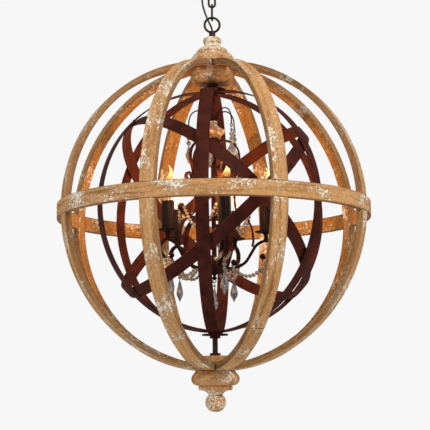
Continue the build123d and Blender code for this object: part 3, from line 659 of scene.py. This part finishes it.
def cut_drop(width, length, top, waist, depth):
    """A pear or kite drop that hangs below top.

    waist is where it is widest, as a share of its length, and depth is a share of its width.
    """
    rings = (  # distance below the top and width, as shares of the drop's own
        (0.0, 0.10),
        (0.12, 0.30),
        (0.28, 0.56),
        (waist, 1.0),
        (waist + 0.14, 0.90),
        (0.84, 0.48),
        (1.0, 0.05),
    )
    down, wide = np.array(rings).T
    flatness = np.where(wide > NARROW, depth, NARROW_DEPTH)
    return cut_stone(np.stack([width * wide, width * wide * flatness, top - length * down], axis=1))


# --------------------------------------------------------------- supply cord
CORD_D = 4 * MM
CORD_SIDES = 14
CORD_ROUTE = (  # millimetres
    (0, 0, -24.5),
    (-0.1, -0.3, -37.5),
    (-6.5, -6, -45.5),
    (-12.5, -10, -57.5),
    (-18, -9.5, -73.5),
    (-20.5, -6.5, -92.2),
    (-20.5, -4, -109.2),
    (-15.5, -6, -127.2),
    (-11, -9.8, -141.2),
    (-5.5, -6.8, -152.7),
    (-0.4, -1, -160.7),
    (0, 0, -169.7),
)
# The bodies above and below each span, the heights in millimetres where its bend starts
# and ends, and the height where the span gives way to the next
CORD_SPANS = (
    ("ceiling_mount", "link_1", -48, -66, -68),
    ("link_1", "link_2", -72, -99, -101),
    ("link_2", "link_3", -103, -130, -132),
    ("link_3", "fixture", -134, -158, -200),
)


def route_line():
    """Points along the cord's smooth route, read from its NURBS spline."""
    curve = bpy.data.curves.new("cord_route", "CURVE")
    curve.dimensions = "3D"
    curve.resolution_u = 14
    spline = curve.splines.new("NURBS")
    spline.points.add(len(CORD_ROUTE) - 1)
    for point, place in zip(spline.points, CORD_ROUTE):
        point.co = (*(MM * v for v in place), 1)
    spline.order_u = 3
    spline.use_endpoint_u = True
    holder = bpy.data.objects.new("cord_route", curve)
    bpy.context.scene.collection.objects.link(holder)
    mesh = bpy.data.meshes.new_from_object(holder)
    line = [v.co.copy() for v in mesh.vertices]
    bpy.data.objects.remove(holder)
    bpy.data.meshes.remove(mesh)
    return line


def make_cord():
    """The cord in four spans, cut at the heights listed in CORD_SPANS."""
    line = route_line()
    start = 0
    for n, (above, below, blend_start, blend_end, low) in enumerate(CORD_SPANS):
        end = start
        while end < len(line) - 1 and line[end].z > MM * low:
            end += 1
        path = line[start : end + 1]
        shape = tube(path, CORD_D / 2, CORD_SIDES)
        piece = new_piece(f"supply_cord_{n + 1}", shape, rubber, None, smooth=True)
        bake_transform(piece)
        if n == 0:
            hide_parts("supply_cord")
        start = end


make_cord()


# ------------------------------------------------------------ carried pieces
HOOP_SEED = 9.3
TURNED_SEED = 10.6
TURNED_PIECES = (  # each with how much more paint is left on it than on the ribs
    ("top_cap", 0.05),
    ("upper_hub_disc", -0.06),
    ("lower_hub_disc", 0.0),
    ("bottom_finial", 0.03),
    ("crown_cap", 0.0),
)


def numbered(name, count):
    """The names of a set of like nodes."""
    return [f"{name}_{n + 1}" for n in range(count)]


def cover(node, material):
    """Gives a carried-over CAD node its material."""
    mesh = frame["nodes"][node].data
    mesh.materials.clear()
    mesh.materials.append(material)


def dress_wood():
    """The globe's boards and the turned pieces."""
    for n, node in enumerate(numbered("globe_rib", RIBS)):
        azimuth = RIB_AZIMUTH + 360 / RIBS * n
        seam_at = math.radians(SEAM_ANGLE) * GLOBE_R if n == 0 else None
        cover(node, rib_wood(azimuth, n + 1, seam_at))
    cover("equator_hoop", hoop_wood(HOOP_SEED))
    for n, (node, paint_left) in enumerate(TURNED_PIECES):
        cover(node, turned_wood(f"turned_wood_{n + 1}", TURNED_SEED + n, paint_left))


def dress_metal():
    """Straps, arms, scrolls, rods, chain, sockets and ceiling fitting."""
    straps = numbered("meridian_strap", MERIDIAN_STRAPS) + numbered("tilted_strap", TILTED_STRAPS)
    fitting = ["ceiling_canopy", "canopy_loop", "stud_nut", "top_loop", "lower_rod"]
    small_iron = ["pendant_hooks", "arm_hub", "candle_cups", "drip_pans"]
    dressed = (
        (iron, straps + ["strap_rivets", "orb_clamps", "centre_rod"]),
        (scroll_iron, ["cage_scrolls"]),
        (arm_iron, small_iron + numbered("candle_arm", LIGHTS)),
        (bronze, fitting + numbered("chain_link", CHAIN_LINKS)),
        (steel, ["mounting_bar"]),
        (black_rubber("socket_plastic", 300), ["lamp_sockets"]),
        (brass, ["bulb_caps"]),
    )
    for material, nodes in dressed:
        for node in nodes:
            cover(node, material)


dress_wood()
dress_metal()


# ------------------------------------------------------------ candles, bulbs
SLEEVE_SIDES = 96
SLEEVE_LEVELS = 16
SLEEVE_SEED = 40  # of the first sleeve's drips
WAVE_START = 6.3  # radians, about a full turn
RIDGE_DEPTH = 0.45 * MM
DRIP_DEPTH = 0.3 * MM
RIM_DEPTH = 0.8 * MM
RIM_STEP = 0.6 * MM  # from the sleeve's top down to its inner edge
BULB_SIDES = 32
BULB_RINGS = (  # height, radius and sideways bend, as shares of the bulb's three sizes
    (0, 0.40, 0),
    (0.05, 0.56, 0),
    (0.12, 0.76, 0),
    (0.20, 0.93, 0),
    (0.29, 1.0, 0),
    (0.38, 0.95, 0.03),
    (0.46, 0.83, 0.10),
    (0.53, 0.69, 0.28),
    (0.60, 0.55, 0.50),
    (0.67, 0.42, 0.76),
    (0.74, 0.31, 0.95),
    (0.80, 0.23, 1.02),
    (0.86, 0.17, 1.0),
    (0.91, 0.12, 0.84),
    (0.95, 0.09, 0.62),
    (0.98, 0.065, 0.38),
    (1.0, 0.03, 0.15),
)
LEAD_SPREAD = 3 * MM  # from the bulb's axis to each upright wire's top
LEAD_KNEE = 10 * MM
LEAD_HEIGHT = 24 * MM
LEAD_R = 0.3 * MM
COIL_TURNS = 6
COIL_STEPS = 60
COIL_ARCH = 7 * MM
COIL_R = (0.6 * MM, 0.8 * MM)  # sideways and fore-and-aft
COIL_WIRE_R = 0.28 * MM
FILAMENT_LIFT = 0.5 * MM  # above the foot of the glass
FILAMENT_STRENGTH = 3.0


def light_place(azimuth, z):
    """A light's place, or what lies in line with it at another height."""
    turn = math.radians(azimuth)
    return (LIGHT_R * math.sin(turn), -LIGHT_R * math.cos(turn), z)


def waves(rng, t, counts, least, most):
    """A sum of cosines, so many to a turn, each with a random height and start."""
    return sum(rng.uniform(least, most) * np.cos(k * t + rng.uniform(0, WAVE_START)) for k in counts)


def upright_rings(t, r, z, x=0.0):
    """Points (x + r cos t, r sin t, z), in rows where r, z or x has rows."""
    return grid(x + r * np.cos(t), r * np.sin(t), z)


def sleeve_shape(low, high, seed):
    """A sleeve with run drips.

    Its radius is SLEEVE_R + RIDGE_DEPTH * (waves - 1). The waves are weaker below the height
    that each drip ran down to, and the wall is DRIP_DEPTH thicker above it. The rim rises and
    falls by RIM_DEPTH * waves of its own.
    """
    rng = np.random.default_rng(seed)
    t = full_turn(SLEEVE_SIDES)
    ridges = waves(rng, t, (5, 9, 14, 21, 27), 0.1, 0.3)
    rim = waves(rng, t, (3, 7, 11), 0.2, 0.5)
    reach = 0.5 + 0.5 * waves(rng, t, (4, 8, 13), 0.2, 0.6)
    share = np.linspace(0, 1, SLEEVE_LEVELS)[:, None]
    run = np.clip((share - 1 + reach) * 3, 0, 1)
    wall = RIDGE_DEPTH * (ridges * (0.4 + 0.6 * run) - 1) + DRIP_DEPTH * run
    rise = np.where(share == 1, RIM_DEPTH * rim, 0)
    outer = upright_rings(t, SLEEVE_R + wall, low + (high - low) * share + rise)
    inner = upright_rings(t, SLEEVE_R - SLEEVE_WALL, np.array([[high - RIM_STEP], [low]]))
    return skin(np.concatenate([outer, inner]), loop=True)


def bulb_shape(low):
    """A bulb whose tip swings out to +X and back, like a flame, ring by ring from BULB_RINGS."""
    height, r, bend = np.array(BULB_RINGS).T[:, :, None]
    z = low + BULB_HEIGHT * height
    return skin(upright_rings(full_turn(BULB_SIDES), BULB_R * r, z, BULB_BEND * bend))


def filament_shape(low):
    """Two upright wires and a wound filament that arches between them.

    The coil winds COIL_TURNS times round a line that rises and falls as half a sine wave.
    """
    top = low + LEAD_HEIGHT
    leads = []
    for x in (-LEAD_SPREAD, LEAD_SPREAD):
        path = [(x * 0.4, 0, low), (x * 0.8, 0, low + LEAD_KNEE), (x, 0, top)]
        leads.append(tube(path, LEAD_R, 6))
    t = np.linspace(0, 1, COIL_STEPS + 1)
    angle = 2 * np.pi * COIL_TURNS * t
    x = LEAD_SPREAD * (1 - 2 * t) + COIL_R[0] * np.cos(angle)
    coil = grid(x, COIL_R[1] * np.sin(angle), top + COIL_ARCH * np.sin(np.pi * t))
    return joined(leads + [tube(coil, COIL_WIRE_R, 6)])


def make_candles():
    """Drip sleeves, bulbs and filaments, one set for each light."""
    glass_low, glass_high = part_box("bulb_glass")
    wax = sleeve_wax("candle_sleeve")
    glass = lit_glass("bulb_glass", glass_low[2] - CENTRE.z, glass_high[2] - CENTRE.z)
    hot = glow("filament", FILAMENT_HOT, FILAMENT_STRENGTH)
    for n, azimuth in enumerate(light_azimuths):
        place = Matrix.Translation(light_place(azimuth, 0))
        sleeve = sleeve_shape(sleeves_low[2], sleeves_high[2], SLEEVE_SEED + n).moved(place)
        piece = new_piece(f"candle_sleeve_{n + 1}", sleeve, wax, "fixture", smooth=True)
        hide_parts("candle_sleeves")
        bulb = bulb_shape(glass_low[2]).moved(place)
        piece = new_piece(f"bulb_{n + 1}", bulb, glass, "fixture", smooth=True)
        piece.visible_shadow = False
        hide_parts("bulb_glass")
        wire = filament_shape(glass_low[2] + FILAMENT_LIFT).moved(place)
        new_piece(f"filament_{n + 1}", wire, hot, "fixture", smooth=True)


make_candles()


# ------------------------------------------------------------------- crystal
# Pendants: the radii of the beads from the top, then the drop's width and length, all in
# millimetres, its waist and its depth
PENDANTS = {
    "upper": ((3.4, 5.2, 5.4), 28, 39, 0.50, 0.5),
    "lower": ((3.0, 4.3, 4.0), 18, 48, 0.58, 0.6),
    "centre": ((3.0,), 16, 54, 0.58, 0.6),
}
EYE_R = 2.6 * MM
EYE_WIRE_R = 0.5 * MM
EYE_MIDDLE = -0.8 * MM  # from the point that a pendant swings about
PENDANT_PIN_R = 0.56 * MM
PIN_OVERLAP = 0.2 * MM  # of a pendant's pin into its eye
PIN_REACH = 0.2  # of a pendant's pin into its drop, as a share of the drop's length

# Bead strands
BEAD_R = 3.6 * MM
BEAD_GAP = 0.2 * MM
BEAD_SIDES = 7
BEAD_TURN = 0.9  # radians, from one bead to the next on its strand
BEAD_SWELL = 1.02  # of every third bead
THREAD_R = 0.5 * MM
STRAND_STEPS = 300
THREAD_STRIDE = 10  # steps of a strand's line for each ring of its thread
SCROLL_BALL_R = 7.5 * MM
SCROLL_BALL_OUT = 77 * MM  # from the axis
UPPER_STRAND_Z = 9 * MM
UPPER_STRAND_SAG = 46 * MM
ARM_WIDTH = 9 * MM
ARM_START = (40 * MM, -113 * MM, 26 * MM)  # radius, height and sag of the strands along the arms
FRONT_START = (50 * MM, -98 * MM, 4 * MM)  # the same for the first arm's, which hang shorter
ARM_STRAND_PAST = 5 * MM  # past the light's axis
ARM_STRAND_END_Z = -94 * MM

# Long drops inside the scrolls
CAGE_DROP_WIDTH = 13 * MM
CAGE_DROP_WAIST = 0.6
CAGE_DROP_DEPTH = 0.7
CAGE_PIN_R = 0.7 * MM
CAGE_PIN_REACH = 4 * MM  # into the drop
HIGH_DROPS = (17 * MM, 148 * MM, 52 * MM)  # radius, height of the top and length
LOW_DROPS = (24 * MM, -34 * MM, 38 * MM)
LOW_PIN_TOP_Z = -10.2 * MM


def make_pendant(kind, ending=""):
    """Cut beads and a drop on a brass pin, hung from the point that its joint turns about."""
    name = f"{kind}_pendant{ending}"
    node = f"{kind}_drop{ending}"
    beads, width, length, waist, depth = PENDANTS[kind]
    pivot = Vector(joints[f"{node}_swing"]["pos_m"])
    turn = math.atan2(pivot.x, -pivot.y) if pivot.xy.length > MM else 0  # 0 on the axis
    place = Matrix.Translation(pivot) @ Matrix.Rotation(turn, 4, "Z")
    top = EYE_MIDDLE - EYE_R - EYE_WIRE_R / 2
    stones = []
    level = top
    for r in beads:
        stones.append(cut_bead(MM * r).moved(Matrix.Translation((0, 0, level - MM * r))))
        level -= 2 * MM * r + FIT
    stones.append(cut_drop(MM * width, MM * length, level, waist, depth))
    glass = joined(stones)
    through = pin(level - PIN_REACH * MM * length, top + PIN_OVERLAP, PENDANT_PIN_R)
    metal = joined([wire_eye(EYE_MIDDLE, EYE_R, EYE_WIRE_R), through])
    piece = new_piece(name, glass.moved(place), crystal, name)
    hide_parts(node)
    new_piece(f"{name}_pin", metal.moved(place), brass, name, smooth=True)


def make_pendants():
    """The pendants on the hooks, under the volutes and under the hub."""
    for n in range(1, LIGHTS + 1):
        make_pendant("upper", f"_{n}")
        make_pendant("lower", f"_{n}")
    make_pendant("centre")


def hanging_line(start, end, sag):
    """Points between two ends, each lower than the straight line by 4 sag t (1 - t)."""
    t = np.linspace(0, 1, STRAND_STEPS + 1)[:, None]
    straight = np.array(start) + (np.array(end) - np.array(start)) * t
    return straight - np.array([0, 0, 4 * sag]) * t * (1 - t)


def strand_places(line):
    """Evenly spaced places for beads along a line."""
    run = np.concatenate([[0], np.cumsum(np.linalg.norm(np.diff(line, axis=0), axis=1))])
    count = int(run[-1] / (2 * BEAD_R + BEAD_GAP))
    along = run[-1] * np.arange(count + 1) / count
    return np.stack([np.interp(along, run, line[:, k]) for k in range(3)], axis=1)


def upper_line():
    """The strand from the first light's scroll to the next one's, beside their balls."""
    beside = math.asin((SCROLL_BALL_R + BEAD_R + FIT) / SCROLL_BALL_OUT)
    ends = []
    for turn in (beside, math.radians(360 / LIGHTS) - beside):
        x, y = SCROLL_BALL_OUT * math.sin(turn), -SCROLL_BALL_OUT * math.cos(turn)
        ends.append((x, y, CENTRE.z + UPPER_STRAND_Z))
    return hanging_line(*ends, UPPER_STRAND_SAG)


def arm_line(x, start_r, start_z, sag):
    """A strand along an arm, beside it at x."""
    start = (x, -start_r, CENTRE.z + start_z)
    end = (x, -LIGHT_R - ARM_STRAND_PAST, CENTRE.z + ARM_STRAND_END_Z)
    return hanging_line(start, end, sag)


def beads_on(line):
    """Cut beads along a line, each turned a little further than the last."""
    beads = []
    for n, place in enumerate(strand_places(line)):
        bead = cut_bead(BEAD_R * (BEAD_SWELL if n % 3 == 0 else 1), BEAD_SIDES)
        turn = Matrix.Rotation(BEAD_TURN * n, 4, "X")
        beads.append(bead.moved(Matrix.Translation(Vector(place)) @ turn))
    return joined(beads)


def make_swags():
    """Strands of cut beads on brass wire, between the scrolls and along the arms."""
    beside_arm = ARM_WIDTH / 2 + BEAD_R + FIT
    strands = []
    threads = []
    for light, azimuth in enumerate(light_azimuths):
        arm_start = FRONT_START if light == 0 else ARM_START
        lines = [upper_line(), arm_line(-beside_arm, *arm_start), arm_line(beside_arm, *arm_start)]
        turn = Matrix.Rotation(math.radians(azimuth), 4, "Z")
        for line in lines:
            strands.append(beads_on(line).moved(turn))
            threads.append(tube(line[::THREAD_STRIDE], THREAD_R, 6).moved(turn))
    piece = new_piece("bead_strands", joined(strands), bead_glass, "fixture")
    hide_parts("crystal_swags")
    new_piece("bead_threads", joined(threads), brass, "fixture", smooth=True)


def make_cage_crystals():
    """The long drops inside the scrolls, on their pins."""
    _, crystals_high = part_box("cage_crystals")
    sets = (
        (hook_azimuths, HIGH_DROPS, crystals_high[2]),
        (light_azimuths, LOW_DROPS, CENTRE.z + LOW_PIN_TOP_Z),
    )
    drops = []
    pins = []
    for azimuths, (r, top_z, length), pin_top in sets:
        top = CENTRE.z + top_z
        drop = cut_drop(CAGE_DROP_WIDTH, length, top, CAGE_DROP_WAIST, CAGE_DROP_DEPTH)
        drop_pin = pin(top - CAGE_PIN_REACH, pin_top, CAGE_PIN_R)
        for azimuth in azimuths:
            turn = Matrix.Rotation(math.radians(azimuth), 4, "Z")
            place = turn @ Matrix.Translation((0, -r, 0))
            drops.append(drop.moved(place))
            pins.append(drop_pin.moved(place))
    piece = new_piece("cage_drops", joined(drops), crystal, "fixture")
    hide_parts("cage_crystals")
    new_piece("cage_drop_pins", joined(pins), brass, "fixture", smooth=True)


make_pendants()
make_swags()
make_cage_crystals()


# ------------------------------------------------------------ floor and light
BACKGROUND = (0.93, 0.93, 0.93)
BACKGROUND_LIGHT = 0.55  # of the brightness that the camera sees
FLOOR_REACH = 3.0
FLOOR_DROP = 0.8  # below the object
KEY_COLOUR = (1.0, 0.95, 0.88)
FILL_COLOUR = (1.0, 0.96, 0.90)
BULB_COLOUR = (1.0, 0.50, 0.15)
BULB_POWER = 0.55
BULB_GLOW_R = 12 * MM
BULB_GLOW_Z = 50 * MM


def make_world():
    """A plain bright background that lights the object less than it shows."""
    world = bpy.data.worlds.new("studio")
    world.use_nodes = True
    bpy.context.scene.world = world
    nodes = world.node_tree.nodes
    links = world.node_tree.links
    background = nodes["Background"]
    background.inputs["Color"].default_value = (*BACKGROUND, 1)
    path = nodes.new("ShaderNodeLightPath")
    strength = nodes.new("ShaderNodeMix")
    strength.inputs[2].default_value = BACKGROUND_LIGHT
    strength.inputs[3].default_value = 1.0
    links.new(path.outputs["Is Camera Ray"], strength.inputs[0])
    links.new(strength.outputs[0], background.inputs["Strength"])


def make_floor():
    """A wide floor under the object."""
    far = FLOOR_REACH
    level = cad_box[0][2] - FLOOR_DROP
    corners = [(-far, -far, level), (far, -far, level), (far, far, level), (-far, far, level)]
    mesh = bpy.data.meshes.new("floor")
    mesh.from_pydata(corners, [], [(0, 1, 2, 3)])
    mesh.materials.append(pale_floor("floor"))
    floor = bpy.data.objects.new("floor", mesh)
    bpy.context.scene.collection.objects.link(floor)


def studio_light(name, place, size, power, colour):
    """A round soft light that faces the globe's centre."""
    data = bpy.data.lights.new(name, "AREA")
    data.shape = "DISK"
    data.size = size
    data.energy = power
    data.color = colour
    light = bpy.data.objects.new(name, data)
    bpy.context.scene.collection.objects.link(light)
    light.location = place
    light.rotation_euler = (CENTRE - Vector(place)).to_track_quat("-Z", "Y").to_euler()


def bulb_light(azimuth):
    """The warm light that one bulb gives."""
    data = bpy.data.lights.new("bulb_light", "POINT")
    data.energy = BULB_POWER
    data.color = BULB_COLOUR
    data.shadow_soft_size = BULB_GLOW_R
    light = bpy.data.objects.new("bulb_light", data)
    light.visible_camera = False
    bpy.context.scene.collection.objects.link(light)
    light.location = light_place(azimuth, CENTRE.z + BULB_GLOW_Z)


make_world()
make_floor()
studio_light("key", (1.5, -2.2, 1.2), size=1.2, power=46, colour=KEY_COLOUR)
studio_light("fill", (-2.0, -1.8, 0.4), size=1.6, power=12, colour=FILL_COLOUR)
for light_azimuth in light_azimuths:
    bulb_light(light_azimuth)
bpy.context.scene.view_settings.view_transform = "Standard"
